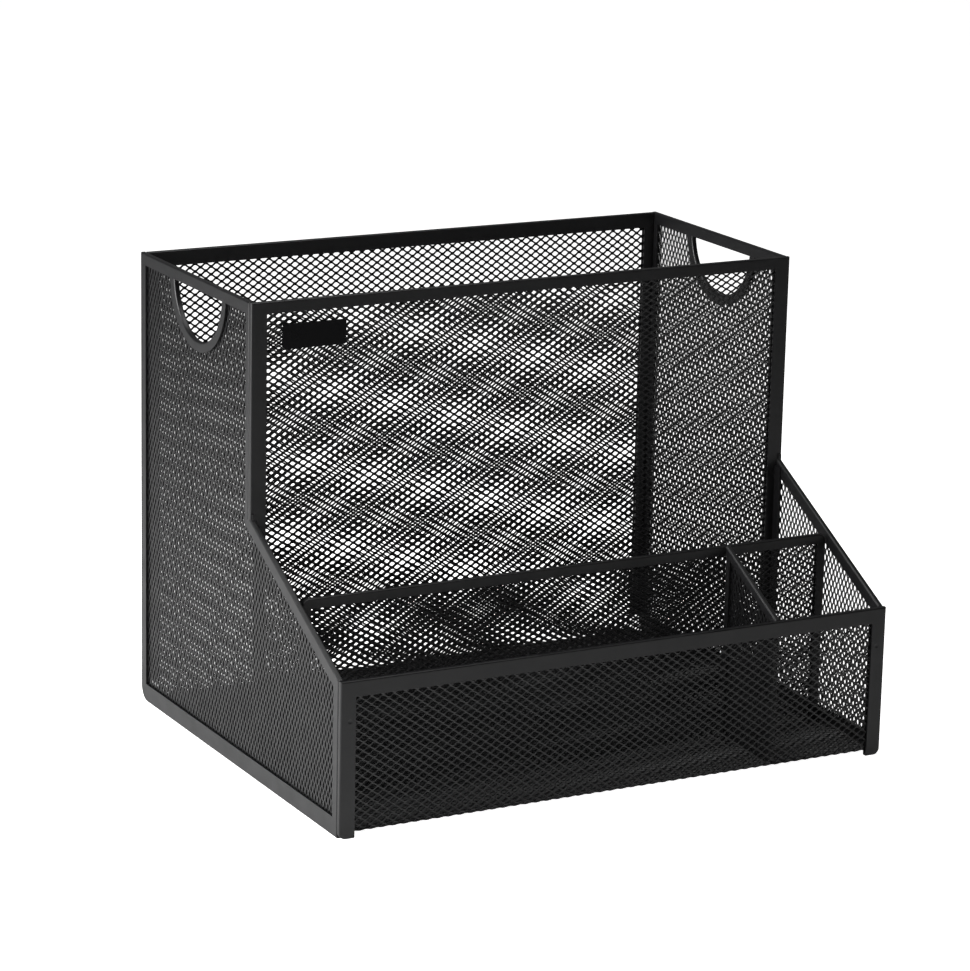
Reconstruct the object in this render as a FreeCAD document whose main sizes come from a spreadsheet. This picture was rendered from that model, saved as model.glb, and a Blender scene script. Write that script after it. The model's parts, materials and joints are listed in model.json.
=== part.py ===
import FreeCAD, Part
import math
import os
import re
import Sketcher

# A desk organizer of expanded steel mesh: five mesh walls and a mesh floor, with every free
# edge of the mesh held in a folded steel channel. Millimetres, +X to the right, +Y to the
# back, +Z up. The origin is on the desk, under the middle of the organizer.

os.makedirs("parts", exist_ok=True)
doc = FreeCAD.newDocument("desk_organizer")

# ---------------------------------------------------------------- driving dimensions

SIZES = [
    # whole organizer
    ("overall_width", 308.6),
    ("overall_depth", 241.3),
    ("overall_height", 241.3),
    ("front_height", 79.0),         # top of the front wall
    ("slope_height", 132.2),        # where the sides' sloping edge meets the middle wall
    ("divider_height", 105.0),      # top of the low divider
    ("back_room", 133.35),          # clear depth of the back compartment, mesh to mesh
    ("middle_room", 50.8),          # clear depth of the middle compartment, mesh to mesh
    ("right_room", 60.96),          # clear width of the small right compartment, mesh to mesh
    # sheet
    ("mesh_gauge", 1.0),            # thickness of the expanded mesh
    ("fold_gauge", 1.0),            # steel of the folded channels
    ("mesh_tuck", 1.5),             # how far the mesh reaches into a channel
    ("edge_round", 0.8),            # rounding along a channel's outer edges
    # width of each channel, seen face on
    ("side_rim", 6.0),
    ("side_slope_band", 6.0),
    ("side_upper_band", 3.2),
    ("side_front_band", 5.0),
    ("side_bottom_band", 9.6),
    ("side_back_band", 6.5),
    ("front_rim", 8.0),
    ("front_band", 8.1),
    ("middle_rim", 6.0),
    ("middle_band", 8.5),
    ("back_rim", 8.0),
    ("back_band", 6.0),
    ("low_rim", 5.0),
    ("low_band", 5.0),
    ("cross_rim", 4.0),
    ("cross_band", 4.0),
    # joints in the sides' bottom channel
    ("seam_behind", 0.6),           # from the middle wall's rear face to the middle joint
    ("second_length", 29.2),        # of the four lengths, counted from the front
    ("third_length", 62.8),
    # corners
    ("back_corner", 8.0),           # radius at the foot of the back
    ("front_corner", 3.5),          # radius at the foot of each front channel
    ("low_corner", 4.5),            # radius at the low divider's upper corners
    ("low_gap", 1.0),               # between the low divider and each side
    # floor
    ("floor_lift", 2.0),            # from the desk to the underside of the mesh floor
    ("front_bend", 3.0),            # outer radius where the floor turns up into the front
    # flanges
    ("weld_flange", 5.0),           # on the middle wall, lying along each side
    ("slope_tab", 3.0),             # at the top end of each sloping channel
    # hand hole
    ("handle_place", 48.0),         # from the middle of the depth towards the back
    ("handle_radius", 29.4),
    ("handle_rise", 3.0),           # the arc's centre above the underside of the rim
    ("handle_band", 5.0),
    # plate on the middle wall
    ("plate_width", 34.0),
    ("plate_height", 12.4),
    ("plate_gauge", 1.3),
    ("plate_corner", 1.2),
    ("plate_from_left", 17.3),      # from the organizer's left face to the plate
    ("plate_from_top", 11.9),       # from the organizer's top to the plate
    # spot welds, each a shallow round dimple
    ("weld_ball", 4.0),             # radius of the electrode's tip
    ("weld_depth", 0.2),
    ("front_weld_inset", 5.0),      # from the organizer's side
    ("front_weld_drop", 20.0),      # below the front wall's top
    ("slope_weld_reach", 16.9),     # in front of the middle wall
]

# Places that follow from the driving dimensions.
PLACES = {
    "wall": "mesh_gauge + 2 * fold_gauge",
    "half_width": "overall_width / 2",
    "half_depth": "overall_depth / 2",
    "side_inside": "half_width - wall",
    "floor_top": "floor_lift + mesh_gauge",
    # middle plane of each wall across the depth
    "front_plane": "wall / 2 - half_depth",
    "back_plane": "half_depth - wall / 2",
    "middle_plane": "back_plane - back_room - mesh_gauge",
    "low_plane": "middle_plane - middle_room - mesh_gauge",
    "side_plane": "half_width - wall / 2",
    "cross_plane": "side_plane - right_room - mesh_gauge",
    # faces
    "front_inside": "front_plane + wall / 2",
    "middle_face": "middle_plane - wall / 2",
    "middle_rear": "middle_plane + wall / 2",
    "low_face": "low_plane - wall / 2",
    # sloping edge of the sides
    "grade": "(slope_height - front_height) / (middle_face - front_inside)",
    # top edge of the cross divider, from the front wall up to the low divider
    "cross_grade": "(divider_height - front_height) / (low_face - front_inside)",
    # joints in the sides' bottom channel
    "seam_middle": "middle_rear + seam_behind",
    "seam_front": "seam_middle - second_length",
    "seam_back": "seam_middle + third_length",
    # hand hole
    "rim_under": "overall_height - side_rim",
    "low_half": "side_inside - low_gap",
    # corner radii, each no larger than the channel that holds it
    "foot_round": "min(back_corner; side_bottom_band - fold_gauge)",
    "low_round": "min(low_corner; low_rim - edge_round / 2)",
    "weld_stand": "wall / 2 + weld_ball - weld_depth",
}

sheet = doc.addObject("Spreadsheet::Sheet", "Sizes")
for row, (alias, value) in enumerate(SIZES, start=1):
    sheet.set(f"A{row}", alias)
    sheet.set(f"B{row}", str(value))
    sheet.setAlias(f"B{row}", alias)
doc.recompute()
ALIASES = {alias for alias, value in SIZES}


def formula(text):
    """The text with each size and place spelled out as an expression on the sheet."""
    def spell(match):
        word = match.group(0)
        if word in ALIASES:
            return f"Sizes.{word}"
        if word in PLACES:
            return f"({formula(PLACES[word])})"
        return word
    return re.sub(r"[a-z][a-z_]*", spell, text)


def value_of(text):
    return float(sheet.evalExpression(formula(text)))


def slope_at(along, below="0", grade="grade"):
    """Height of a sloping edge at a place along the depth, less a band of this width."""
    return f"front_height + {grade} * ({along} - front_inside) - ({below}) * sqrt(1 + {grade} ^ 2)"


# ---------------------------------------------------------------- sketches and features

def origin_plane(body, role):
    return next(item for item in body.Origin.OriginFeatures if item.Role == role)


def arc_between(start, end, radius, turn):
    """The short arc from start to end, turning left or right."""
    chord = end - start
    middle = start + chord * 0.5
    normal = FreeCAD.Vector(-chord.y, chord.x, 0)
    normal.normalize()
    reach = math.sqrt(max(radius ** 2 - (chord.Length / 2) ** 2, 0))
    side = 1 if turn == "left" else -1
    centre = middle + normal * (reach * side)
    first, last = (start, end) if turn == "left" else (end, start)
    angles = [math.atan2(point.y - centre.y, point.x - centre.x) for point in (first, last)]
    circle = Part.Circle(centre, FreeCAD.Vector(0, 0, 1), radius)
    return Part.ArcOfCircle(circle, angles[0], angles[1])


def add_sketch(body, name, plane, corners):
    """A closed outline in one of the body's own planes.

    Each corner is (across, up), or (across, up, turn, radius) where an arc leads on to the
    next corner. Every corner is held by a formula on the sheet.
    """
    sketch = body.newObject("Sketcher::SketchObject", name)
    sketch.AttachmentSupport = (origin_plane(body, plane), [""])
    sketch.MapMode = "FlatFace"
    points = [FreeCAD.Vector(value_of(c[0]), value_of(c[1]), 0) for c in corners]
    starts = []
    ends = []
    for index, corner in enumerate(corners):
        here = points[index]
        there = points[(index + 1) % len(points)]
        if len(corner) == 2:
            edge = sketch.addGeometry(Part.LineSegment(here, there))
            starts.append((edge, 1))
            ends.append((edge, 2))
            continue
        edge = sketch.addGeometry(arc_between(here, there, value_of(corner[3]), corner[2]))
        leftwards = corner[2] == "left"
        starts.append((edge, 1 if leftwards else 2))
        ends.append((edge, 2 if leftwards else 1))
    for index, end in enumerate(ends):
        start = starts[(index + 1) % len(starts)]
        sketch.addConstraint(Sketcher.Constraint("Coincident", *end, *start))
    for index, corner in enumerate(corners):
        hold(sketch, f"across{index}", corner[0],
             Sketcher.Constraint("DistanceX", -1, 1, *starts[index], points[index].x))
        hold(sketch, f"up{index}", corner[1],
             Sketcher.Constraint("DistanceY", -1, 1, *starts[index], points[index].y))
        if len(corner) > 2:
            hold(sketch, f"radius{index}", corner[3],
                 Sketcher.Constraint("Radius", starts[index][0], value_of(corner[3])))
    return sketch


def hold(sketch, name, text, constraint):
    index = sketch.addConstraint(constraint)
    sketch.renameConstraint(index, name)
    sketch.setExpression(f"Constraints.{name}", formula(text))


def add_pad(body, sketch, thickness, symmetric=True, reversed_way=False):
    pad = body.newObject("PartDesign::Pad", "pad")
    pad.Profile = sketch
    pad.SideType = "Symmetric" if symmetric else "One side"
    pad.Reversed = reversed_way
    pad.setExpression("Length", formula(thickness))
    doc.recompute()
    return pad


def add_pocket(body, sketch, width):
    before = body.Shape.Volume
    pocket = body.newObject("PartDesign::Pocket", "pocket")
    pocket.Profile = sketch
    pocket.SideType = "Symmetric"
    pocket.setExpression("Length", formula(width))
    doc.recompute()
    if not body.Shape.Volume < before:
        raise RuntimeError(f"the pocket in {body.Label} cuts nothing")
    return pocket


def round_edges(body, wanted, radius):
    """Fillets the edges whose middle passes the test."""
    base = body.Tip
    names = []
    for index, edge in enumerate(base.Shape.Edges, start=1):
        span = edge.LastParameter - edge.FirstParameter
        middle = edge.valueAt(edge.FirstParameter + span / 2)
        if wanted(middle):
            names.append(f"Edge{index}")
    fillet = body.newObject("PartDesign::Fillet", "rounding")
    fillet.Base = (base, names)
    fillet.setExpression("Radius", formula(radius))
    doc.recompute()
    return fillet


def add_weld(body, x, y, z):
    """The shallow dimple that a spot weld leaves; the place is the electrode tip's centre."""
    before = body.Shape.Volume
    dimple = body.newObject("PartDesign::SubtractiveSphere", "weld")
    dimple.MapMode = "Deactivated"
    dimple.setExpression("Radius", formula("weld_ball"))
    for axis, text in zip("xyz", (x, y, z)):
        dimple.setExpression(f"Placement.Base.{axis}", formula(text))
    doc.recompute()
    if not body.Shape.Volume < before:
        raise RuntimeError(f"the weld dimple in {body.Label} cuts nothing")


nodes = []


def new_body(name, x="0", y="0", z="0"):
    body = doc.addObject("PartDesign::Body", name)
    body.Label = name
    for axis, text in zip("xyz", (x, y, z)):
        body.setExpression(f"Placement.Base.{axis}", formula(text))
    nodes.append(body)
    return body


def mesh_panel(name, plane, corners, **place):
    """A flat sheet of mesh, centred on its wall's middle plane."""
    body = new_body(name, **place)
    sketch = add_sketch(body, "outline", plane, corners)
    add_pad(body, sketch, "mesh_gauge")
    return body


def channel(name, plane, corners, slot, outer, **place):
    """A length of folded channel: a band as thick as the wall with a slot for the mesh.

    outer lists the corners, by number, whose edge is the channel's closed, rounded side.
    """
    body = new_body(name, **place)
    add_pad(body, add_sketch(body, "outline", plane, corners), "wall")
    add_pocket(body, add_sketch(body, "slot", plane, slot), "mesh_gauge")
    targets = [outer_middle(corners, index) for index in outer]
    through = "x" if plane == "YZ_Plane" else "y"
    across = "y" if plane == "YZ_Plane" else "x"
    half = value_of("wall / 2")

    def on_closed_side(point):
        if abs(abs(getattr(point, through)) - half) > 0.01:
            return False
        here = FreeCAD.Vector(getattr(point, across), point.z, 0)
        return any((here - target).Length < 0.05 for target in targets)

    round_edges(body, on_closed_side, "edge_round")
    return body


def outer_middle(corners, index):
    """The middle of the outline's edge that starts at this corner."""
    corner = corners[index]
    after = corners[(index + 1) % len(corners)]
    start = FreeCAD.Vector(value_of(corner[0]), value_of(corner[1]), 0)
    end = FreeCAD.Vector(value_of(after[0]), value_of(after[1]), 0)
    if len(corner) == 2:
        return (start + end) * 0.5
    arc = arc_between(start, end, value_of(corner[3]), corner[2])
    return arc.value((arc.FirstParameter + arc.LastParameter) / 2)


def box_corners(left, right, low, high):
    return [(left, low), (right, low), (right, high), (left, high)]


# ---------------------------------------------------------------- the two sides

def side_mesh(side, x):
    """Mesh of one side: a slope in front, a step up to full height and the hand hole."""
    front = "front_inside + side_front_band - mesh_tuck"
    step = "middle_rear + side_upper_band - mesh_tuck"
    back = "half_depth - side_back_band + mesh_tuck"
    low = "side_bottom_band - mesh_tuck"
    top = "rim_under + mesh_tuck"
    hole = "handle_radius + handle_band - mesh_tuck"
    reach = f"sqrt(({hole}) ^ 2 - (handle_rise - mesh_tuck) ^ 2)"
    mesh_panel(f"{side}_mesh", "YZ_Plane", [
        (front, low),
        (back, low),
        (back, top),
        (f"handle_place + {reach}", top, "right", hole),
        (f"handle_place - {reach}", top),
        (step, top),
        (step, slope_at(step, "side_slope_band - mesh_tuck")),
        (front, slope_at(front, "side_slope_band - mesh_tuck")),
    ], x=x)


def side_top_rim(side, x):
    channel(f"{side}_top_rim", "YZ_Plane", [
        ("middle_rear", "overall_height"),
        ("middle_rear + side_upper_band", "rim_under"),
        ("half_depth - side_back_band", "rim_under"),
        ("half_depth", "overall_height"),
    ], box_corners("middle_rear + fold_gauge", "half_depth - fold_gauge",
                   "rim_under - 1", "overall_height - fold_gauge"), [3], x=x)


def side_upper_channel(side, x):
    inner = "middle_rear + side_upper_band"
    channel(f"{side}_upper_front_channel", "YZ_Plane", [
        ("middle_rear", "slope_height"),
        (inner, slope_at(inner, "side_slope_band")),
        (inner, "rim_under"),
        ("middle_rear", "overall_height"),
    ], box_corners("middle_rear + fold_gauge", f"{inner} + 1",
                   "slope_height - 2 * side_slope_band", "overall_height - fold_gauge"),
        [3], x=x)


def side_slope_channel(side, x):
    """The sloping channel, with a small tab turned up against the middle wall."""
    inner = "middle_rear + side_upper_band"
    lower = "front_inside + side_front_band"
    slot_end = "middle_rear + fold_gauge"
    body = channel(f"{side}_slope_channel", "YZ_Plane", [
        ("front_inside", "front_height"),
        (lower, slope_at(lower, "side_slope_band")),
        (inner, slope_at(inner, "side_slope_band")),
        ("middle_rear", "slope_height"),
        ("middle_face", "slope_height"),
    ], [
        ("front_inside + fold_gauge", slope_at("front_inside + fold_gauge", "fold_gauge")),
        ("front_inside + fold_gauge", slope_at("front_inside + fold_gauge", "2 * side_slope_band")),
        (f"{inner} + 1", slope_at(f"{inner} + 1", "2 * side_slope_band")),
        (f"{inner} + 1", slope_at("middle_face - fold_gauge", "fold_gauge")),
        (slot_end, slope_at("middle_face - fold_gauge", "fold_gauge")),
        ("middle_face - fold_gauge", slope_at("middle_face - fold_gauge", "fold_gauge")),
    ], [4], x=x)
    tab = add_sketch(body, "tab", "YZ_Plane", box_corners(
        "middle_face - fold_gauge", "middle_face",
        slope_at("middle_face - fold_gauge", "fold_gauge / 2"), "slope_height + slope_tab"))
    add_pad(body, tab, "wall - 2 * edge_round")
    inwards = "1" if side == "left" else "-1"
    place = "middle_face - slope_weld_reach"
    add_weld(body, f"{inwards} * weld_stand", place, slope_at(place, "side_slope_band / 2"))


def side_front_channel(side, x):
    inner = "front_inside + side_front_band"
    channel(f"{side}_front_channel", "YZ_Plane", [
        ("front_inside", "0"),
        (inner, "side_bottom_band"),
        (inner, slope_at(inner, "side_slope_band")),
        ("front_inside", "front_height"),
    ], box_corners("front_inside + fold_gauge", f"{inner} + 1",
                   "fold_gauge", "front_height"), [3], x=x)


def side_bottom_channels(side, x):
    """Four lengths end to end; the first is mitred and the last turns up at the back."""
    band = "side_bottom_band"
    seams = ["seam_front", "seam_middle", "seam_back"]
    slot = box_corners("front_inside + fold_gauge", "half_depth", "fold_gauge", f"{band} + 1")
    channel(f"{side}_bottom_channel_1", "YZ_Plane", [
        ("front_inside", "0"),
        (seams[0], "0"),
        (seams[0], band),
        ("front_inside + side_front_band", band),
    ], slot, [0], x=x)
    for number, (start, end) in enumerate(zip(seams, seams[1:]), start=2):
        channel(f"{side}_bottom_channel_{number}", "YZ_Plane",
                box_corners(start, end, "0", band), slot, [0], x=x)
    turn = "foot_round - fold_gauge"
    channel(f"{side}_bottom_channel_4", "YZ_Plane", [
        (seams[2], "0"),
        ("half_depth - foot_round", "0", "left", "foot_round"),
        ("half_depth", "foot_round"),
        ("half_depth", band),
        (seams[2], band),
    ], [
        (f"{seams[2]} - 1", "fold_gauge"),
        ("half_depth - foot_round", "fold_gauge", "left", turn),
        ("half_depth - fold_gauge", "foot_round"),
        ("half_depth - fold_gauge", f"{band} + 1"),
        (f"{seams[2]} - 1", f"{band} + 1"),
    ], [0, 1, 2], x=x)


def side_back_channel(side, x):
    inner = "half_depth - side_back_band"
    channel(f"{side}_back_channel", "YZ_Plane", [
        (inner, "side_bottom_band"),
        ("half_depth", "side_bottom_band"),
        ("half_depth", "overall_height"),
        (inner, "rim_under"),
    ], box_corners(f"{inner} - 1", "half_depth - fold_gauge",
                   "side_bottom_band - 1", "overall_height - fold_gauge"), [1], x=x)


def handle_ring(side, x):
    """Channel round the hand hole, a little less than half a circle under the rim."""
    inner = "handle_radius"
    outer = "handle_radius + handle_band"
    web = "handle_radius + fold_gauge"
    wide = f"{outer} + 1"
    reach = {radius: f"sqrt(({radius}) ^ 2 - handle_rise ^ 2)" for radius in (inner, outer, web, wide)}

    def band(near, far):
        return [
            (f"handle_place - {reach[far]}", "rim_under", "left", far),
            (f"handle_place + {reach[far]}", "rim_under"),
            (f"handle_place + {reach[near]}", "rim_under", "right", near),
            (f"handle_place - {reach[near]}", "rim_under"),
        ]

    channel(f"{side}_handle_ring", "YZ_Plane", band(inner, outer), band(web, wide), [2], x=x)


def build_side(side, x):
    side_mesh(side, x)
    side_top_rim(side, x)
    side_upper_channel(side, x)
    side_slope_channel(side, x)
    side_front_channel(side, x)
    side_bottom_channels(side, x)
    side_back_channel(side, x)
    handle_ring(side, x)


# ---------------------------------------------------------------- upright cross walls

def mirrored(corners, sign):
    """The outline as it is for the right, or turned over in X for the left."""
    if sign > 0:
        return corners
    turned = {"left": "right", "right": "left"}
    flipped = []
    for corner in corners:
        flipped.append((f"-({corner[0]})",) + tuple(turned.get(item, item) for item in corner[1:]))
    return flipped


def front_wall():
    inner = "half_width - front_band"
    under = "front_height - front_rim"
    reach = f"{inner} + mesh_tuck"
    mesh_panel("front_mesh", "XZ_Plane",
               box_corners(f"-({reach})", reach, "floor_lift + front_bend", f"{under} + mesh_tuck"),
               y="front_plane")
    channel("front_top_rim", "XZ_Plane", [
        ("-half_width", "front_height"),
        (f"-({inner})", under),
        (inner, under),
        ("half_width", "front_height"),
    ], box_corners("fold_gauge - half_width", "half_width - fold_gauge",
                   f"{under} - 1", "front_height - fold_gauge"), [3], y="front_plane")
    for side, sign in (("left", -1), ("right", 1)):
        outline = [
            (inner, "0"),
            ("half_width - front_corner", "0", "left", "front_corner"),
            ("half_width", "front_corner"),
            ("half_width", "front_height"),
            (inner, under),
        ]
        slot = [
            (f"{inner} - 1", "fold_gauge"),
            ("half_width - front_corner", "fold_gauge", "left", "front_corner - fold_gauge"),
            ("half_width - fold_gauge", "front_corner"),
            ("half_width - fold_gauge", "front_height - fold_gauge"),
            (f"{inner} - 1", "front_height - fold_gauge"),
        ]
        body = channel(f"front_{side}_channel", "XZ_Plane", mirrored(outline, sign),
                       mirrored(slot, sign), [1, 2], y="front_plane")
        add_weld(body, f"{sign} * (half_width - front_weld_inset)", "-weld_stand",
                 "front_height - front_weld_drop")


def middle_wall():
    inner = "half_width - middle_band"
    under = "overall_height - middle_rim"
    reach = f"{inner} + mesh_tuck"
    mesh_panel("middle_mesh", "XZ_Plane",
               box_corners(f"-({reach})", reach, "floor_top", f"{under} + mesh_tuck"),
               y="middle_plane")
    channel("middle_top_rim", "XZ_Plane", [
        ("-half_width", "overall_height"),
        (f"-({inner})", under),
        (inner, under),
        ("half_width", "overall_height"),
    ], box_corners("fold_gauge - half_width", "half_width - fold_gauge",
                   f"{under} - 1", "overall_height - fold_gauge"), [3], y="middle_plane")
    for side, sign in (("left", -1), ("right", 1)):
        outline = [
            (inner, "floor_top"),
            ("side_inside", "floor_top"),
            ("side_inside", "slope_height"),
            ("half_width", "slope_height"),
            ("half_width", "overall_height"),
            (inner, under),
        ]
        slot = box_corners(f"{inner} - 1", "side_inside - fold_gauge",
                           "floor_top - 1", "overall_height - fold_gauge")
        body = channel(f"middle_{side}_channel", "XZ_Plane", mirrored(outline, sign),
                       mirrored(slot, sign), [3], y="middle_plane")
        flange = box_corners("side_inside - fold_gauge", "side_inside",
                             "floor_top", "slope_height - slope_tab")
        sketch = add_sketch(body, "flange", "XZ_Plane", mirrored(flange, sign))
        add_pad(body, sketch, "wall / 2 + weld_flange", symmetric=False)
        if body.Shape.BoundBox.YMin > value_of("middle_face - weld_flange") + 0.01:
            raise RuntimeError(f"the flange of {body.Label} does not reach the front")


def back_wall():
    inner = "side_inside - back_band"
    under = "overall_height - back_rim"
    reach = f"{inner} + mesh_tuck"
    mesh_panel("back_mesh", "XZ_Plane",
               box_corners(f"-({reach})", reach, "floor_lift + back_corner", f"{under} + mesh_tuck"),
               y="back_plane")
    channel("back_top_rim", "XZ_Plane", [
        ("-side_inside", "overall_height"),
        (f"-({inner})", under),
        (inner, under),
        ("side_inside", "overall_height"),
    ], box_corners("fold_gauge - side_inside", "side_inside - fold_gauge",
                   f"{under} - 1", "overall_height - fold_gauge"), [3], y="back_plane")
    for side, sign in (("left", -1), ("right", 1)):
        outline = [
            (inner, "floor_lift + back_corner"),
            ("side_inside", "floor_lift + back_corner"),
            ("side_inside", "overall_height"),
            (inner, under),
        ]
        slot = box_corners(f"{inner} - 1", "side_inside - fold_gauge",
                           "floor_lift", "overall_height - fold_gauge")
        channel(f"back_{side}_channel", "XZ_Plane", mirrored(outline, sign),
                mirrored(slot, sign), [1], y="back_plane")


# ---------------------------------------------------------------- low dividers and floor

def low_divider():
    """The low wall across the front, with rounded upper corners."""
    inner = "low_half - low_band"
    under = "divider_height - low_rim"
    reach = f"{inner} + mesh_tuck"
    turn = "low_round - fold_gauge"
    shoulder = "divider_height - low_round"
    mesh_panel("low_divider_mesh", "XZ_Plane",
               box_corners(f"-({reach})", reach, "floor_top", f"{under} + mesh_tuck"), y="low_plane")
    channel("low_divider_rim", "XZ_Plane", [
        ("-low_half", under),
        ("low_half", under),
        ("low_half", shoulder, "left", "low_round"),
        ("low_half - low_round", "divider_height"),
        ("low_round - low_half", "divider_height", "left", "low_round"),
        ("-low_half", shoulder),
    ], [
        ("fold_gauge - low_half", f"{under} - 1"),
        ("low_half - fold_gauge", f"{under} - 1"),
        ("low_half - fold_gauge", shoulder, "left", turn),
        ("low_half - low_round", "divider_height - fold_gauge"),
        ("low_round - low_half", "divider_height - fold_gauge", "left", turn),
        ("fold_gauge - low_half", shoulder),
    ], [1, 2, 3, 4, 5], y="low_plane")
    for side, sign in (("left", -1), ("right", 1)):
        outline = box_corners(inner, "low_half", "floor_top", under)
        slot = box_corners(f"{inner} - 1", "low_half - fold_gauge", "floor_lift", f"{under} + 1")
        channel(f"low_divider_{side}_channel", "XZ_Plane", mirrored(outline, sign),
                mirrored(slot, sign), [1], y="low_plane")


def cross_divider():
    """The short wall between the low divider and the front, sloping like the sides."""
    front = "front_inside"
    back = "low_face"
    front_edge = f"{front} + cross_band"
    back_edge = f"{back} - cross_band"
    tucked = "cross_rim - mesh_tuck"

    def edge_at(along, below="0"):
        return slope_at(along, below, "cross_grade")

    mesh_panel("cross_divider_mesh", "YZ_Plane", [
        (f"{front_edge} - mesh_tuck", "floor_top"),
        (f"{back_edge} + mesh_tuck", "floor_top"),
        (f"{back_edge} + mesh_tuck", edge_at(f"{back_edge} + mesh_tuck", tucked)),
        (f"{front_edge} - mesh_tuck", edge_at(f"{front_edge} - mesh_tuck", tucked)),
    ], x="cross_plane")
    channel("cross_divider_rim", "YZ_Plane", [
        (front, edge_at(front, "cross_rim")),
        (back, edge_at(back, "cross_rim")),
        (back, edge_at(back)),
        (front, edge_at(front)),
    ], [
        (f"{front} + fold_gauge", edge_at(f"{front} + fold_gauge", "cross_rim + 1")),
        (f"{back} - fold_gauge", edge_at(f"{back} - fold_gauge", "cross_rim + 1")),
        (f"{back} - fold_gauge", edge_at(f"{back} - fold_gauge", "fold_gauge")),
        (f"{front} + fold_gauge", edge_at(f"{front} + fold_gauge", "fold_gauge")),
    ], [2], x="cross_plane")
    channel("cross_divider_front_channel", "YZ_Plane", [
        (front, "floor_lift + front_bend"),
        (front_edge, "floor_lift + front_bend"),
        (front_edge, edge_at(front_edge, "cross_rim")),
        (front, edge_at(front, "cross_rim")),
    ], box_corners(f"{front} + fold_gauge", f"{front_edge} + 1", "floor_lift", "slope_height"),
        [3], x="cross_plane")
    channel("cross_divider_back_channel", "YZ_Plane", [
        (back_edge, "floor_top"),
        (back, "floor_top"),
        (back, edge_at(back, "cross_rim")),
        (back_edge, edge_at(back_edge, "cross_rim")),
    ], box_corners(f"{back_edge} - 1", f"{back} - fold_gauge", "floor_lift", "slope_height"),
        [1], x="cross_plane")


def floor():
    """The mesh floor, turned up into the front and the back at its two ends."""
    front_face = "front_plane - mesh_gauge / 2"
    back_face = "back_plane + mesh_gauge / 2"
    front_turn = "front_bend - mesh_gauge"
    back_turn = "back_corner - mesh_gauge"
    body = new_body("floor_mesh")
    section = add_sketch(body, "section", "YZ_Plane", [
        (f"{front_face} + front_bend", "floor_lift"),
        (f"{back_face} - back_corner", "floor_lift", "left", "back_corner"),
        (back_face, "floor_lift + back_corner"),
        (f"{back_face} - mesh_gauge", "floor_lift + back_corner", "right", back_turn),
        (f"{back_face} - back_corner", "floor_top"),
        (f"{front_face} + front_bend", "floor_top", "right", front_turn),
        (f"{front_face} + mesh_gauge", "floor_lift + front_bend"),
        (front_face, "floor_lift + front_bend", "left", "front_bend"),
    ])
    add_pad(body, section, "2 * (side_inside - middle_band)")
    flat = add_sketch(body, "flat", "XY_Plane", box_corners(
        "-side_inside", "side_inside", f"{front_face} + front_bend", f"{back_face} - back_corner"))
    flat.setExpression("AttachmentOffset.Base.z", formula("floor_lift"))
    add_pad(body, flat, "mesh_gauge", symmetric=False)


def plate():
    """The blank plate on the middle wall's mesh, near its upper left corner."""
    left = "plate_from_left - half_width"
    right = f"{left} + plate_width"
    high = "overall_height - plate_from_top"
    low = f"{high} - plate_height"
    corner = "plate_corner"
    body = new_body("blank_plate", y="middle_plane - mesh_gauge / 2 - plate_gauge / 2")
    sketch = add_sketch(body, "outline", "XZ_Plane", [
        (f"{left} + {corner}", low),
        (f"{right} - {corner}", low, "left", corner),
        (right, f"{low} + {corner}"),
        (right, f"{high} - {corner}", "left", corner),
        (f"{right} - {corner}", high),
        (f"{left} + {corner}", high, "left", corner),
        (left, f"{high} - {corner}"),
        (left, f"{low} + {corner}", "left", corner),
    ])
    add_pad(body, sketch, "plate_gauge")


build_side("left", "-side_plane")
build_side("right", "side_plane")
front_wall()
middle_wall()
back_wall()
low_divider()
cross_divider()
floor()
plate()
doc.recompute()

# ---------------------------------------------------------------- checks and files

for item in doc.Objects:
    if "Invalid" in item.State or "Error" in item.State:
        raise RuntimeError(f"{item.Name} of {item.Label} failed: {item.State}")
for body in nodes:
    if body.Shape.isNull() or not body.Shape.isValid():
        raise RuntimeError(f"{body.Label} has no valid shape")
for body in nodes:
    body.Shape.exportStep(f"parts/{body.Label}.step")
    print(body.Label, len(body.Shape.Solids), round(body.Shape.Volume, 1))
print(len(nodes), "sub-parts")
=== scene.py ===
# %% [markdown]
# # A desk organizer of expanded steel mesh
#
# The organizer is a welded rack: walls of black expanded mesh whose free edges are held in
# folded steel channels. The channels are exact sheet-metal shapes, so they come from the CAD
# model as they are and only need a finish. The mesh sheets come from it as plain thin plates.
# This lesson cuts the real diamond openings, so that light passes through every wall.

# %% Load the frame
import json
import math

import bmesh
import bpy
from mathutils import Matrix, Vector


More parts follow.
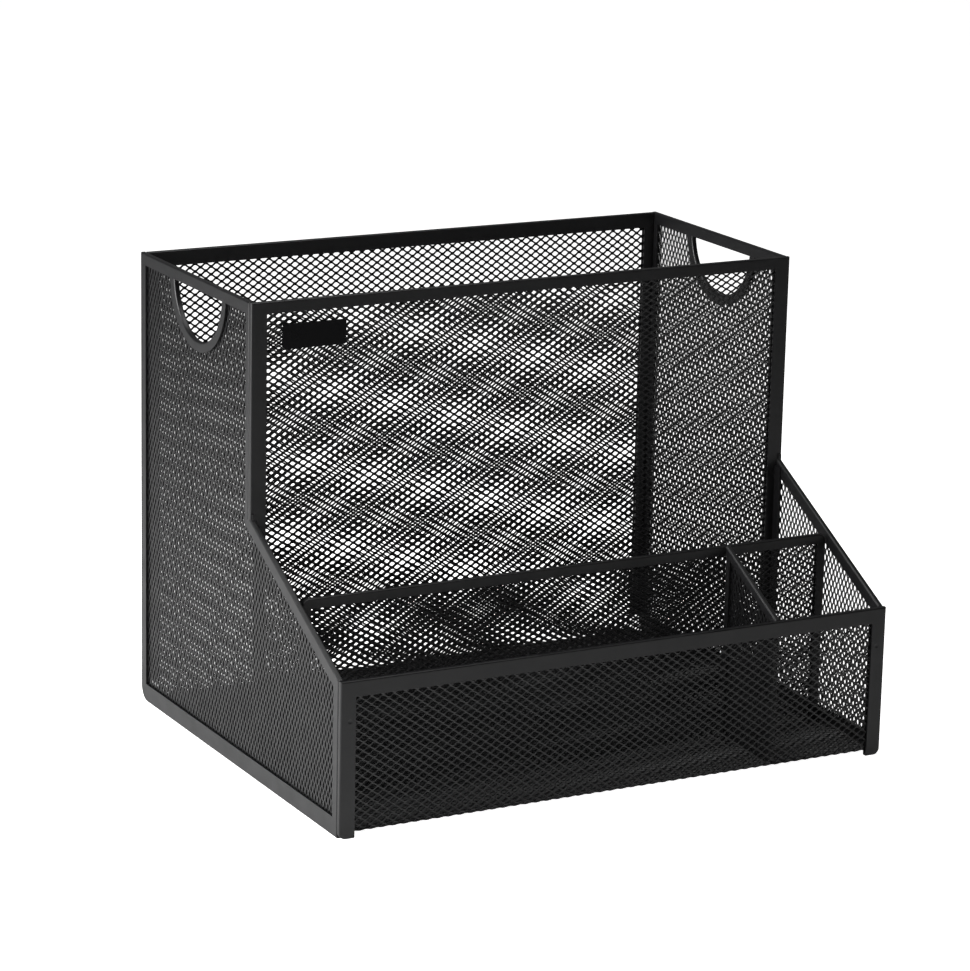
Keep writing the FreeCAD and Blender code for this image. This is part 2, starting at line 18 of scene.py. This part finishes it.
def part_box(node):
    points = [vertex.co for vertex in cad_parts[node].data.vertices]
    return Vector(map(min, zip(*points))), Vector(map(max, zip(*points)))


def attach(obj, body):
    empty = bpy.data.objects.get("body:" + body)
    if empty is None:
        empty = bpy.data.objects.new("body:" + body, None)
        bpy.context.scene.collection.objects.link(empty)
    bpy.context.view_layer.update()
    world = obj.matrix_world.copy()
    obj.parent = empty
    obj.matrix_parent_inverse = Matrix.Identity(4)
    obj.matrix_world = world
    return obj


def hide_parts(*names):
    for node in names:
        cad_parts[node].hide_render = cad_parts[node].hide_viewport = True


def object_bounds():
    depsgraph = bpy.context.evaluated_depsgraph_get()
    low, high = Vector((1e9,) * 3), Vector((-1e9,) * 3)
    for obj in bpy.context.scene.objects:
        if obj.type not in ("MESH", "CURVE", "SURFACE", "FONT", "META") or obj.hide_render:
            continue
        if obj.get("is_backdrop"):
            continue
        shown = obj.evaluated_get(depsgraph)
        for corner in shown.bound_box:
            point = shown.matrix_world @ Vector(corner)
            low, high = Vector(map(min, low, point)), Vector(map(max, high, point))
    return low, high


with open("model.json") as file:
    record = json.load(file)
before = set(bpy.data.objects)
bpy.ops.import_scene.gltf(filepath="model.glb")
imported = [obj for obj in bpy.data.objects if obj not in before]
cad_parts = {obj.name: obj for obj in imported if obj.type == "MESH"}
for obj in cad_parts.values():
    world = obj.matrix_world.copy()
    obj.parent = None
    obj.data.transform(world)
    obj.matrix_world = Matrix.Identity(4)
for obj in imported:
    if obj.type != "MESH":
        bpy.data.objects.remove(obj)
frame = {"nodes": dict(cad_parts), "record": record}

scene = bpy.context.scene
cad_low, cad_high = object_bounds()
MM = 0.001
print("nodes", len(frame["nodes"]), "box in mm", [round(v / MM, 1) for v in cad_high - cad_low])

# %% [markdown]
# ## Camera
#
# A long lens, standing to the left of the organizer and a little above it, keeps the upright
# edges nearly parallel, as in a catalogue. The camera leans about one degree, which is why its
# turn has three parts.

# %% Camera
LENS = 139.2
CAMERA_PLACE = (-0.8973, -1.6384, 0.6216)
CAMERA_TURN = (75.24, -1.238, -27.988)

camera_data = bpy.data.cameras.new("camera")
camera_data.lens = LENS
camera_data.sensor_width = 36.0
camera = bpy.data.objects.new("camera", camera_data)
camera.location = CAMERA_PLACE
camera.rotation_euler = [math.radians(angle) for angle in CAMERA_TURN]
scene.collection.objects.link(camera)
scene.camera = camera
print("camera", round((Vector(CAMERA_PLACE) - (cad_low + cad_high) / 2).length, 2), "m away")

# %% [markdown]
# ## Two helpers for materials
#
# Shader colours are linear light, while a paint chip is read as an sRGB hex value, so one
# function turns the one into the other. The second adds a node, sets its sockets by name and
# links its inputs, which keeps every material below short.

# %% Helpers for materials
def linear(hex_colour):
    """An sRGB hex colour as linear red, green, blue and alpha."""
    parts = [int(hex_colour[i:i + 2], 16) / 255 for i in (1, 3, 5)]
    return [p / 12.92 if p <= 0.04045 else ((p + 0.055) / 1.055) ** 2.4 for p in parts] + [1.0]


def add_node(tree, kind, values=None, links=None, **settings):
    """A node of this kind with its settings, socket values and incoming links."""
    node = tree.nodes.new(kind)
    for name, value in settings.items():
        setattr(node, name, value)
    for name, value in (values or {}).items():
        node.inputs[name].default_value = value
    for name, output in (links or {}).items():
        tree.links.new(output, node.inputs[name])
    return node


def new_material(name):
    """An empty node material with its output node."""
    material = bpy.data.materials.new(name)
    material.use_nodes = True
    material.node_tree.nodes.clear()
    return material, material.node_tree, add_node(material.node_tree, "ShaderNodeOutputMaterial")


print("white is", linear("#ffffff"))

# %% [markdown]
# ## Powder coat
#
# The steel is powder coated: a dry black polyester powder is sprayed on and baked until it
# flows. It is satin rather than glossy, and looked at closely it has the fine waviness known as
# orange peel, about a millimetre from crest to crest. The flow also leaves the sheen slightly
# uneven, which a slow noise on the roughness gives. The coat is a plastic, so it isn't metallic.

# %% Powder coat
def powder_coat(name, colour, roughness, ior, peel_mm, peel_height_mm):
    """Baked polyester powder: satin, with orange peel and a slightly uneven sheen."""
    material, tree, output = new_material(name)
    place = add_node(tree, "ShaderNodeTexCoord").outputs["Object"]
    sheen = add_node(tree, "ShaderNodeTexNoise",
                     {"Scale": 1 / (14 * MM), "Detail": 2.0}, {"Vector": place})
    rough = add_node(tree, "ShaderNodeMapRange",
                     {"From Min": 0.3, "From Max": 0.7,
                      "To Min": roughness - 0.05, "To Max": roughness + 0.05},
                     {"Value": sheen.outputs["Fac"]})
    peel = add_node(tree, "ShaderNodeTexNoise",
                    {"Scale": 1 / (peel_mm * MM), "Detail": 3.0}, {"Vector": place})
    bump = add_node(tree, "ShaderNodeBump",
                    {"Strength": 0.35, "Distance": peel_height_mm * MM},
                    {"Height": peel.outputs["Fac"]})
    coat = add_node(tree, "ShaderNodeBsdfPrincipled",
                    {"Base Color": linear(colour), "IOR": ior},
                    {"Roughness": rough.outputs["Result"], "Normal": bump.outputs["Normal"]})
    tree.links.new(coat.outputs["BSDF"], output.inputs["Surface"])
    return material


frame_coat = powder_coat("powder_coated_steel_channel", "#0d0d0e", 0.38, 1.4, 1.1, 0.05)
mesh_coat = powder_coat("powder_coated_expanded_steel", "#0b0b0c", 0.36, 1.4, 0.5, 0.03)
plate_coat = powder_coat("gloss_powder_coated_plate", "#060607", 0.30, 1.2, 1.5, 0.02)
print("finishes", [m.name for m in (frame_coat, mesh_coat, plate_coat)])

# %% [markdown]
# ## Give the channels and the plate their finish
#
# A CAD node keeps its mesh and takes a new material in its slot. The record says which finish
# each node has.

# %% Finish on the CAD nodes
FINISH = {"frame": frame_coat, "mesh": mesh_coat, "plate": plate_coat}
for part in frame["record"]["subparts"]:
    node = frame["nodes"][part["node"]]
    for slot in node.material_slots:
        slot.material = FINISH[part["material_slot"]]

# %% [markdown]
# ## One diamond of expanded mesh
#
# Expanded mesh is slit and stretched from one sheet. Each diamond is long one way and short the
# other. Its blunt ends are the bonds, where two strands stay joined and the metal is twice as
# wide. Stretching also twists each strand, so that one of its edges stands in front of the
# sheet and the other behind, and that twist is what catches the light.
#
# A six-sided disc, inset once, gives the ring of metal round one opening: its outer edge runs
# along the middle of the strands, and its inner edge is the opening. Six faces are few enough
# to repeat five thousand times.

# %% One diamond
def hexagon(verts, half_long, half_short, half_flat):
    """Sets six corners to a hexagon pointed along Y, with flats of this length facing X."""
    for vert in verts:
        if abs(vert.co.x) < 1e-9:
            vert.co.y = math.copysign(half_long, vert.co.y)
        else:
            vert.co.x = math.copysign(half_short, vert.co.x)
            vert.co.y = math.copysign(half_flat, vert.co.y)


def add_diamond(bm, long_way, short_way, bond, opening, twist):
    """The ring of metal round one opening, flat in XY, with its strands twisted in Z.

    opening is its length, its width and the length of the flat at each bond.
    """
    bmesh.ops.create_circle(bm, cap_ends=True, segments=6, radius=1.0)
    outer = list(bm.verts)
    centre = list(bm.faces)
    bmesh.ops.inset_region(bm, faces=centre, thickness=0.2, use_boundary=True)
    inner = [vert for vert in bm.verts if vert not in outer]
    hexagon(outer, (long_way - bond) / 2, short_way / 2, bond / 2)
    hexagon(inner, opening[0] / 2, opening[1] / 2, opening[2] / 2)
    for vert in inner:
        vert.co.z = twist * vert.co.x / (opening[1] / 2)
    bmesh.ops.delete(bm, geom=centre, context="FACES_ONLY")


sample = bmesh.new()
add_diamond(sample, 6.0 * MM, 4.0 * MM, 0.6 * MM, (4.5 * MM, 3.0 * MM, 1.0 * MM), 0.25 * MM)
print("one diamond has", len(sample.faces), "faces and", len(sample.verts), "corners")
sample.free()

# %% [markdown]
# ## A sheet of diamonds
#
# Diamonds lie like bricks: each row is half a diamond along from the next. So the pattern that
# repeats is a pair. The spin operator with no angle makes a row of copies, one step apart, and
# a second spin makes rows of that row. Corners that meet are then merged. The diamonds are
# counted from zero, and the sheet is made larger than its wall, so that it still covers the
# wall when it is laid a little off square.

# %% A sheet of diamonds
SQUARE = (0.0, 0.0, 0.0, 0.0)
SPARE_EDGE = 6 * MM
SPARE_SHARE = 0.06
MERGE = 0.02 * MM


def repeat(bm, step, times):
    """Copies everything in the mesh this many more times, one step apart."""
    bmesh.ops.spin(bm, geom=bm.verts[:] + bm.edges[:] + bm.faces[:], cent=(0, 0, 0),
                   axis=(0, 0, 1), dvec=step, angle=0, steps=times, use_duplicate=True)


def diamond_sheet(low, high, weave, lay=SQUARE):
    """A flat sheet in XY, short way along X, that more than covers low to high.

    lay is how far a sheet is laid off square: the lean of its rows and of its columns in
    degrees, and its shift along X and Y in mm.
    """
    bm = bmesh.new()
    add_diamond(bm, **weave)
    long_way, short_way = weave["long_way"], weave["short_way"]
    spare = SPARE_EDGE + SPARE_SHARE * max(high[0] - low[0], high[1] - low[1])
    low = (low[0] - spare, low[1] - spare)
    high = (high[0] + spare, high[1] + spare)
    copied = bmesh.ops.duplicate(bm, geom=bm.verts[:] + bm.edges[:] + bm.faces[:])["geom"]
    bmesh.ops.translate(bm, vec=(short_way / 2, long_way / 2, 0),
                        verts=[item for item in copied if isinstance(item, bmesh.types.BMVert)])
    first = (math.floor(low[0] / short_way) - 1, math.floor(low[1] / long_way) - 1)
    last = (math.ceil(high[0] / short_way) + 1, math.ceil(high[1] / long_way) + 1)
    bmesh.ops.translate(bm, verts=bm.verts, vec=(first[0] * short_way, first[1] * long_way, 0))
    repeat(bm, (short_way, 0, 0), last[0] - first[0])
    repeat(bm, (0, long_way, 0), last[1] - first[1])
    bmesh.ops.remove_doubles(bm, verts=bm.verts, dist=MERGE)
    rows, columns = (math.tan(math.radians(angle)) for angle in lay[:2])
    slant = Matrix(((1, rows, 0), (-columns, 1, 0), (0, 0, 1))).to_4x4()
    shift = Matrix.Translation((lay[2] * MM, lay[3] * MM, 0))
    middle = Vector(((low[0] + high[0]) / 2, (low[1] + high[1]) / 2, 0))
    bm.transform(Matrix.Translation(middle) @ slant @ Matrix.Translation(-middle) @ shift)
    return bm


# %% [markdown]
# ## Trim a sheet and give it thickness
#
# A shear cuts the sheet to its wall. The bisect operator is that shear: it cuts along a plane
# and clears what lies outside it. Where only a corner is cut away, the shear is kept to the
# faces near it and the loose corner is deleted after. The Solidify modifier then gives the
# strands their thickness and closes every cut edge, in the openings and round the rim.

# %% Trim and finish a sheet
STRAND_GAUGE = 0.6 * MM
TUCK = 1.5 * MM
ON_THE_LINE = 1e-7
NEAR = 5 * MM


def trim(bm, point, outward):
    """Cuts the whole sheet along a plane and clears what is outside it."""
    bmesh.ops.bisect_plane(bm, geom=bm.verts[:] + bm.edges[:] + bm.faces[:], dist=ON_THE_LINE,
                           plane_co=point, plane_no=outward, clear_outer=True)


def cut_near(bm, point, outward, near):
    """Cuts along a plane and clears nothing, only in the faces whose middle passes the test."""
    faces = [face for face in bm.faces if near(face.calc_center_median())]
    edges = {edge for face in faces for edge in face.edges}
    verts = {vert for face in faces for vert in face.verts}
    bmesh.ops.bisect_plane(bm, geom=[*verts, *edges, *faces], dist=ON_THE_LINE,
                           plane_co=point, plane_no=outward)


def drop_faces(bm, unwanted):
    """Deletes the faces whose middle passes the test."""
    faces = [face for face in bm.faces if unwanted(face.calc_center_median())]
    bmesh.ops.delete(bm, geom=faces, context="FACES")


def trim_to_rectangle(bm, low, high):
    """Trims a flat sheet in XY to a rectangle."""
    for outward in (Vector((1, 0, 0)), Vector((0, 1, 0))):
        trim(bm, Vector((*high, 0)), outward)
        trim(bm, Vector((*low, 0)), -outward)


def mesh_piece(name, bm, node):
    """Makes the sheet an object that stands for its CAD node."""
    data = bpy.data.meshes.new(name)
    bm.to_mesh(data)
    bm.free()
    data.materials.append(mesh_coat)
    piece = bpy.data.objects.new(name, data)
    scene.collection.objects.link(piece)
    thick = piece.modifiers.new("gauge", "SOLIDIFY")
    thick.thickness = STRAND_GAUGE
    thick.offset = 0.0
    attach(piece, "root")
    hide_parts(node)
    print(name, len(data.polygons), "faces before thickness")


# %% [markdown]
# ## The middle wall and the low divider
#
# These two are flat sheets with their diamonds lying down, long way across. Each is trimmed to
# the plate that stands for it in the CAD model, which already reaches into the channels round
# it. The strands are twisted so that the face they show to the front looks down, which keeps
# them dark. Neither this sheet nor the back wall's was laid quite square, and where one is seen
# through the other, that small lean decides the pattern of light and dark patches.

# %% Middle wall and low divider
WALL_WEAVE = {
    "long_way": 6.02 * MM,
    "short_way": 3.44 * MM,
    "bond": 0.6 * MM,
    "opening": (4.2 * MM, 2.15 * MM, 1.0 * MM),
    "twist": 0.2 * MM,
}
# The sheet's short way goes up, its long way across and its face to the back.
UPRIGHT = Matrix(((0, 1, 0), (0, 0, 1), (1, 0, 0))).to_4x4()


def upright_wall(node, lay, lengths):
    """A flat wall, made in this many lengths side by side so that no mesh grows too heavy."""
    low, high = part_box(node)
    whole = ((low.z, low.x), (high.z, high.x))
    width = (high.x - low.x) / lengths
    for count in range(lengths):
        bm = diamond_sheet(*whole, WALL_WEAVE, lay)
        start = low.x + count * width
        trim_to_rectangle(bm, (low.z, start), (high.z, start + width))
        bm.transform(Matrix.Translation((0, (low.y + high.y) / 2, 0)) @ UPRIGHT)
        mesh_piece(f"{node}_diamonds_{count + 1}", bm, node)


MIDDLE_LAY = (0.7, 1.65, 0.0, -0.56)
upright_wall("middle_mesh", MIDDLE_LAY, 2)
upright_wall("low_divider_mesh", SQUARE, 1)

# %% [markdown]
# ## The wrap: front, floor and back in one sheet
#
# On the real organizer one long sheet makes the front, the floor and the back. It lies flat
# under the floor and turns up at both ends, in a tight bend at the front and a wider one at the
# back. Here it is made flat in four lengths, measured along the floor from the middle of the
# depth, and then every corner is moved to where the bent sheet has it. The floor and its bends
# are two of the lengths and meet under the middle wall, which keeps each mesh light. The front
# and the back begin where a bend ends, each with its own small lean.

# %% The bent sheet
WRAP_WEAVE = {
    "long_way": 6.03 * MM,
    "short_way": 4.155 * MM,
    "bond": 0.6 * MM,
    "opening": (4.25 * MM, 2.55 * MM, 1.0 * MM),
    "twist": -0.3 * MM,
}
floor_low, floor_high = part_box("floor_mesh")
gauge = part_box("front_mesh")[1].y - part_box("front_mesh")[0].y
floor_level = floor_low.z + gauge / 2
BENDS = {}
for end, node in ((-1, "front_mesh"), (1, "back_mesh")):
    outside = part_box(node)[0].z - floor_low.z
    start = (floor_high.y if end > 0 else -floor_low.y) - outside
    radius = outside - gauge / 2
    BENDS[end] = (start, radius, start + radius * math.pi / 2)


def bend(vert):
    """Moves a corner of the flat sheet, (along, across, above), onto the bent sheet."""
    along, across, above = vert.co
    end = 1 if along > 0 else -1
    start, radius, finish = BENDS[end]
    past = abs(along) - start
    if past <= 0:
        vert.co = (across, along, floor_level + above)
        return
    angle = min(past / radius, math.pi / 2)
    rise = max(abs(along) - finish, 0)
    reach = start + (radius - above) * math.sin(angle)
    height = floor_level + radius - (radius - above) * math.cos(angle) + rise
    vert.co = (across, end * reach, height)


def cut_wrap(span, half_width, lay):
    """A flat length of the wrap, between two places measured along the sheet."""
    corners = ((span[0], -half_width), (span[1], half_width))
    bm = diamond_sheet(*corners, WRAP_WEAVE, lay)
    trim_to_rectangle(bm, *corners)
    return bm


def bend_wrap(name, node, bm):
    """Bends a flat length to its place and makes it a piece."""
    for vert in bm.verts:
        bend(vert)
    bmesh.ops.reverse_faces(bm, faces=bm.faces)
    mesh_piece(name, bm, node)


for end, wall in BENDS.items():
    print("bend", end, [round(value / MM, 2) for value in wall])

# %% The front, the back and the two lengths of floor
WRAP_LAY = {"front_mesh": (0.3, 2.6, 0.0, 0.0), "back_mesh": (-0.6, 0.0, 0.39, -0.63)}
for end, node in ((-1, "front_mesh"), (1, "back_mesh")):
    low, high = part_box(node)
    near = BENDS[end][2]
    span = sorted((end * near, end * (near + high.z - low.z)))
    bend_wrap(f"{node}_diamonds", node, cut_wrap(span, high.x, WRAP_LAY[node]))

seam = (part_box("middle_mesh")[0].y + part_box("middle_mesh")[1].y) / 2
for end, word in ((-1, "front"), (1, "back")):
    start, radius, finish = BENDS[end]
    bm = cut_wrap(sorted((end * finish, seam)), floor_high.x, SQUARE)
    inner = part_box(f"{word}_right_channel")[0].x
    for side in (-1, 1):
        cut_near(bm, Vector((0, side * inner, 0)), Vector((0, side, 0)),
                 lambda middle: abs(middle.x) > start and middle.y * side > inner - NEAR)
    cut_near(bm, Vector((end * start, 0, 0)), Vector((end, 0, 0)),
             lambda middle: abs(middle.y) > inner and abs(abs(middle.x) - start) < NEAR)
    drop_faces(bm, lambda middle: abs(middle.x) > start and abs(middle.y) > inner)
    bend_wrap(f"floor_mesh_{word}_diamonds", "floor_mesh", bm)

# %% [markdown]
# ## The two sides
#
# The sides' sheet stands on end, so its diamonds are narrow and upright. The left side and the
# cross divider have a closer form of it, with narrower openings and hardly any twist. A side
# isn't a rectangle: it slopes up from the front, steps up to full height, and has a hand hole
# under the rim. The slope and the step are sheared one after the other, and what lies in the
# corner between them, or in the hand hole, is deleted. The ragged edge that this leaves round
# the hand hole is hidden in the ring of channel.

# %% Sides
SIDE_WEAVE = {
    "long_way": 6.06 * MM,
    "short_way": 3.4 * MM,
    "bond": 0.6 * MM,
    "opening": (4.6 * MM, 2.4 * MM, 1.0 * MM),
    "twist": 0.22 * MM,
}
CLOSE_WEAVE = {**SIDE_WEAVE, "opening": (4.4 * MM, 1.85 * MM, 1.0 * MM), "twist": 0.04 * MM}
PAST_STEP = 3 * MM
RING_TUCK = 2 * MM
# The sheet's short way goes to the back, its long way up and its face to the right.
SIDEWAYS = Matrix(((0, 0, 1), (1, 0, 0), (0, 1, 0))).to_4x4()


def raised_line(first, second):
    """A line through two (depth, height) points, moved up square to itself by the tuck."""
    along = Vector((second[0] - first[0], second[1] - first[1], 0)).normalized()
    outward = Vector((-along.y, along.x, 0))
    return Vector((first[0], first[1], 0)) + outward * TUCK, outward


def hand_hole(side):
    """Centre and radius inside which the side's mesh is cut away, from the box of its ring."""
    low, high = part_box(f"{side}_handle_ring")
    half, drop = (high.y - low.y) / 2, high.z - low.z
    radius = (half ** 2 + drop ** 2) / (2 * drop)
    return Vector(((low.y + high.y) / 2, low.z + radius, 0)), radius - RING_TUCK


def side_wall(side, weave):
    """One side: a rectangle less its front corner and its hand hole."""
    low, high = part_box(f"{side}_mesh")
    corners = ((low.y, low.z), (high.y, high.z))
    bm = diamond_sheet(*corners, weave)
    trim_to_rectangle(bm, *corners)
    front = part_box(f"{side}_front_channel")
    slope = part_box(f"{side}_slope_channel")
    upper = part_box(f"{side}_upper_front_channel")
    point, outward = raised_line((front[1].y, slope[0].z), (upper[1].y, upper[0].z))
    step = upper[1].y - TUCK
    cut_near(bm, point, outward, lambda middle: middle.x < step + PAST_STEP)
    cut_near(bm, Vector((step, 0, 0)), Vector((-1, 0, 0)),
             lambda middle: middle.y > upper[0].z - NEAR)
    centre, radius = hand_hole(side)
    drop_faces(bm, lambda middle: middle.x < step and (middle - point).dot(outward) > 0)
    drop_faces(bm, lambda middle: (middle.xy - centre.xy).length < radius)
    bm.transform(Matrix.Translation(((low.x + high.x) / 2, 0, 0)) @ SIDEWAYS)
    mesh_piece(f"{side}_mesh_diamonds", bm, f"{side}_mesh")


side_wall("left", CLOSE_WEAVE)
side_wall("right", SIDE_WEAVE)

# %% [markdown]
# ## The cross divider
#
# The small wall beside the pen compartment has the same close mesh as the left side. Its top
# follows its own sloping rim.

# %% Cross divider
def cross_wall():
    """The cross divider: a rectangle less what lies above its sloping rim."""
    low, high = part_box("cross_divider_mesh")
    corners = ((low.y, low.z), (high.y, high.z))
    bm = diamond_sheet(*corners, CLOSE_WEAVE)
    trim_to_rectangle(bm, *corners)
    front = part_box("cross_divider_front_channel")[1]
    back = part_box("cross_divider_back_channel")[1]
    trim(bm, *raised_line((front.y, front.z), (back.y, back.z)))
    bm.transform(Matrix.Translation(((low.x + high.x) / 2, 0, 0)) @ SIDEWAYS)
    mesh_piece("cross_divider_mesh_diamonds", bm, "cross_divider_mesh")


cross_wall()

# %% [markdown]
# ## Floor, light and background
#
# One large soft lamp stands low on the left, so that the left side is the bright one, and a
# second hangs above. In front of the organizer the studio is dark, and behind it a little
# lighter, which keeps the faces towards the camera black and draws a thin light line along the
# top edges. Camera rays see the floor lifted towards white, which leaves a faint shadow and
# puts no more light on the organizer.

# %% Floor
def studio_floor():
    bm = bmesh.new()
    bmesh.ops.create_grid(bm, x_segments=1, y_segments=1, size=9.0)
    data = bpy.data.meshes.new("studio_floor")
    bm.to_mesh(data)
    bm.free()
    floor = bpy.data.objects.new("studio_floor", data)
    floor.location.z = cad_low.z
    scene.collection.objects.link(floor)
    floor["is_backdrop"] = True
    return floor


def floor_paper():
    """White seamless paper, lifted towards white where the camera sees it."""
    material, tree, output = new_material("white_seamless_paper")
    rays = add_node(tree, "ShaderNodeLightPath")
    lift = add_node(tree, "ShaderNodeMath", {1: 0.92}, {0: rays.outputs["Is Camera Ray"]},
                    operation="MULTIPLY")
    paper = add_node(tree, "ShaderNodeBsdfDiffuse", {"Color": linear("#f2f2f2")})
    glow = add_node(tree, "ShaderNodeEmission", {"Color": linear("#ffffff")},
                    {"Strength": lift.outputs["Value"]})
    both = add_node(tree, "ShaderNodeAddShader")
    tree.links.new(paper.outputs["BSDF"], both.inputs[0])
    tree.links.new(glow.outputs["Emission"], both.inputs[1])
    tree.links.new(both.outputs["Shader"], output.inputs["Surface"])
    return material


floor = studio_floor()
floor.data.materials.append(floor_paper())
print("floor at", floor.location.z)

# %% Lamps and world
def lamp(name, place, target, size, power):
    """A square softbox that faces a target."""
    data = bpy.data.lights.new(name, "AREA")
    data.shape = "SQUARE"
    data.size = size
    data.energy = power
    holder = bpy.data.objects.new(name, data)
    holder.location = place
    aim = Vector(target) - Vector(place)
    holder.rotation_euler = aim.to_track_quat("-Z", "Y").to_euler()
    scene.collection.objects.link(holder)


MIDDLE = (cad_low + cad_high) / 2
lamp("softbox_left", (-1.1, -0.05, 0.45), (-0.15, -0.06, 0.1), 0.7, 30.0)
lamp("softbox_top", (0.0, -0.15, 1.2), MIDDLE, 0.8, 9.0)

world = bpy.data.worlds.new("studio")
world.use_nodes = True
world.node_tree.nodes.clear()
rays = add_node(world.node_tree, "ShaderNodeLightPath")
direction = add_node(world.node_tree, "ShaderNodeTexCoord")
parts = add_node(world.node_tree, "ShaderNodeSeparateXYZ", {},
                 {"Vector": direction.outputs["Generated"]})
sweep = add_node(world.node_tree, "ShaderNodeMapRange",
                 {"From Min": -0.5, "From Max": 0.9, "To Min": 0.02, "To Max": 0.14},
                 {"Value": parts.outputs["Y"]})
level = add_node(world.node_tree, "ShaderNodeMath", {},
                 {0: rays.outputs["Is Camera Ray"], 1: sweep.outputs["Result"]},
                 operation="MAXIMUM")
sky = add_node(world.node_tree, "ShaderNodeBackground", {"Color": linear("#ffffff")},
               {"Strength": level.outputs["Value"]})
world_output = add_node(world.node_tree, "ShaderNodeOutputWorld")
world.node_tree.links.new(sky.outputs["Background"], world_output.inputs["Surface"])
scene.world = world
scene.view_settings.view_transform = "Standard"

# %% [markdown]
# ## The size
#
# The visual model's box is printed in millimetres, to set beside the CAD model's box printed
# when the frame was loaded.

# %% Size
low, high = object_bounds()
print("visual box in mm", [round(v / MM, 1) for v in high - low])
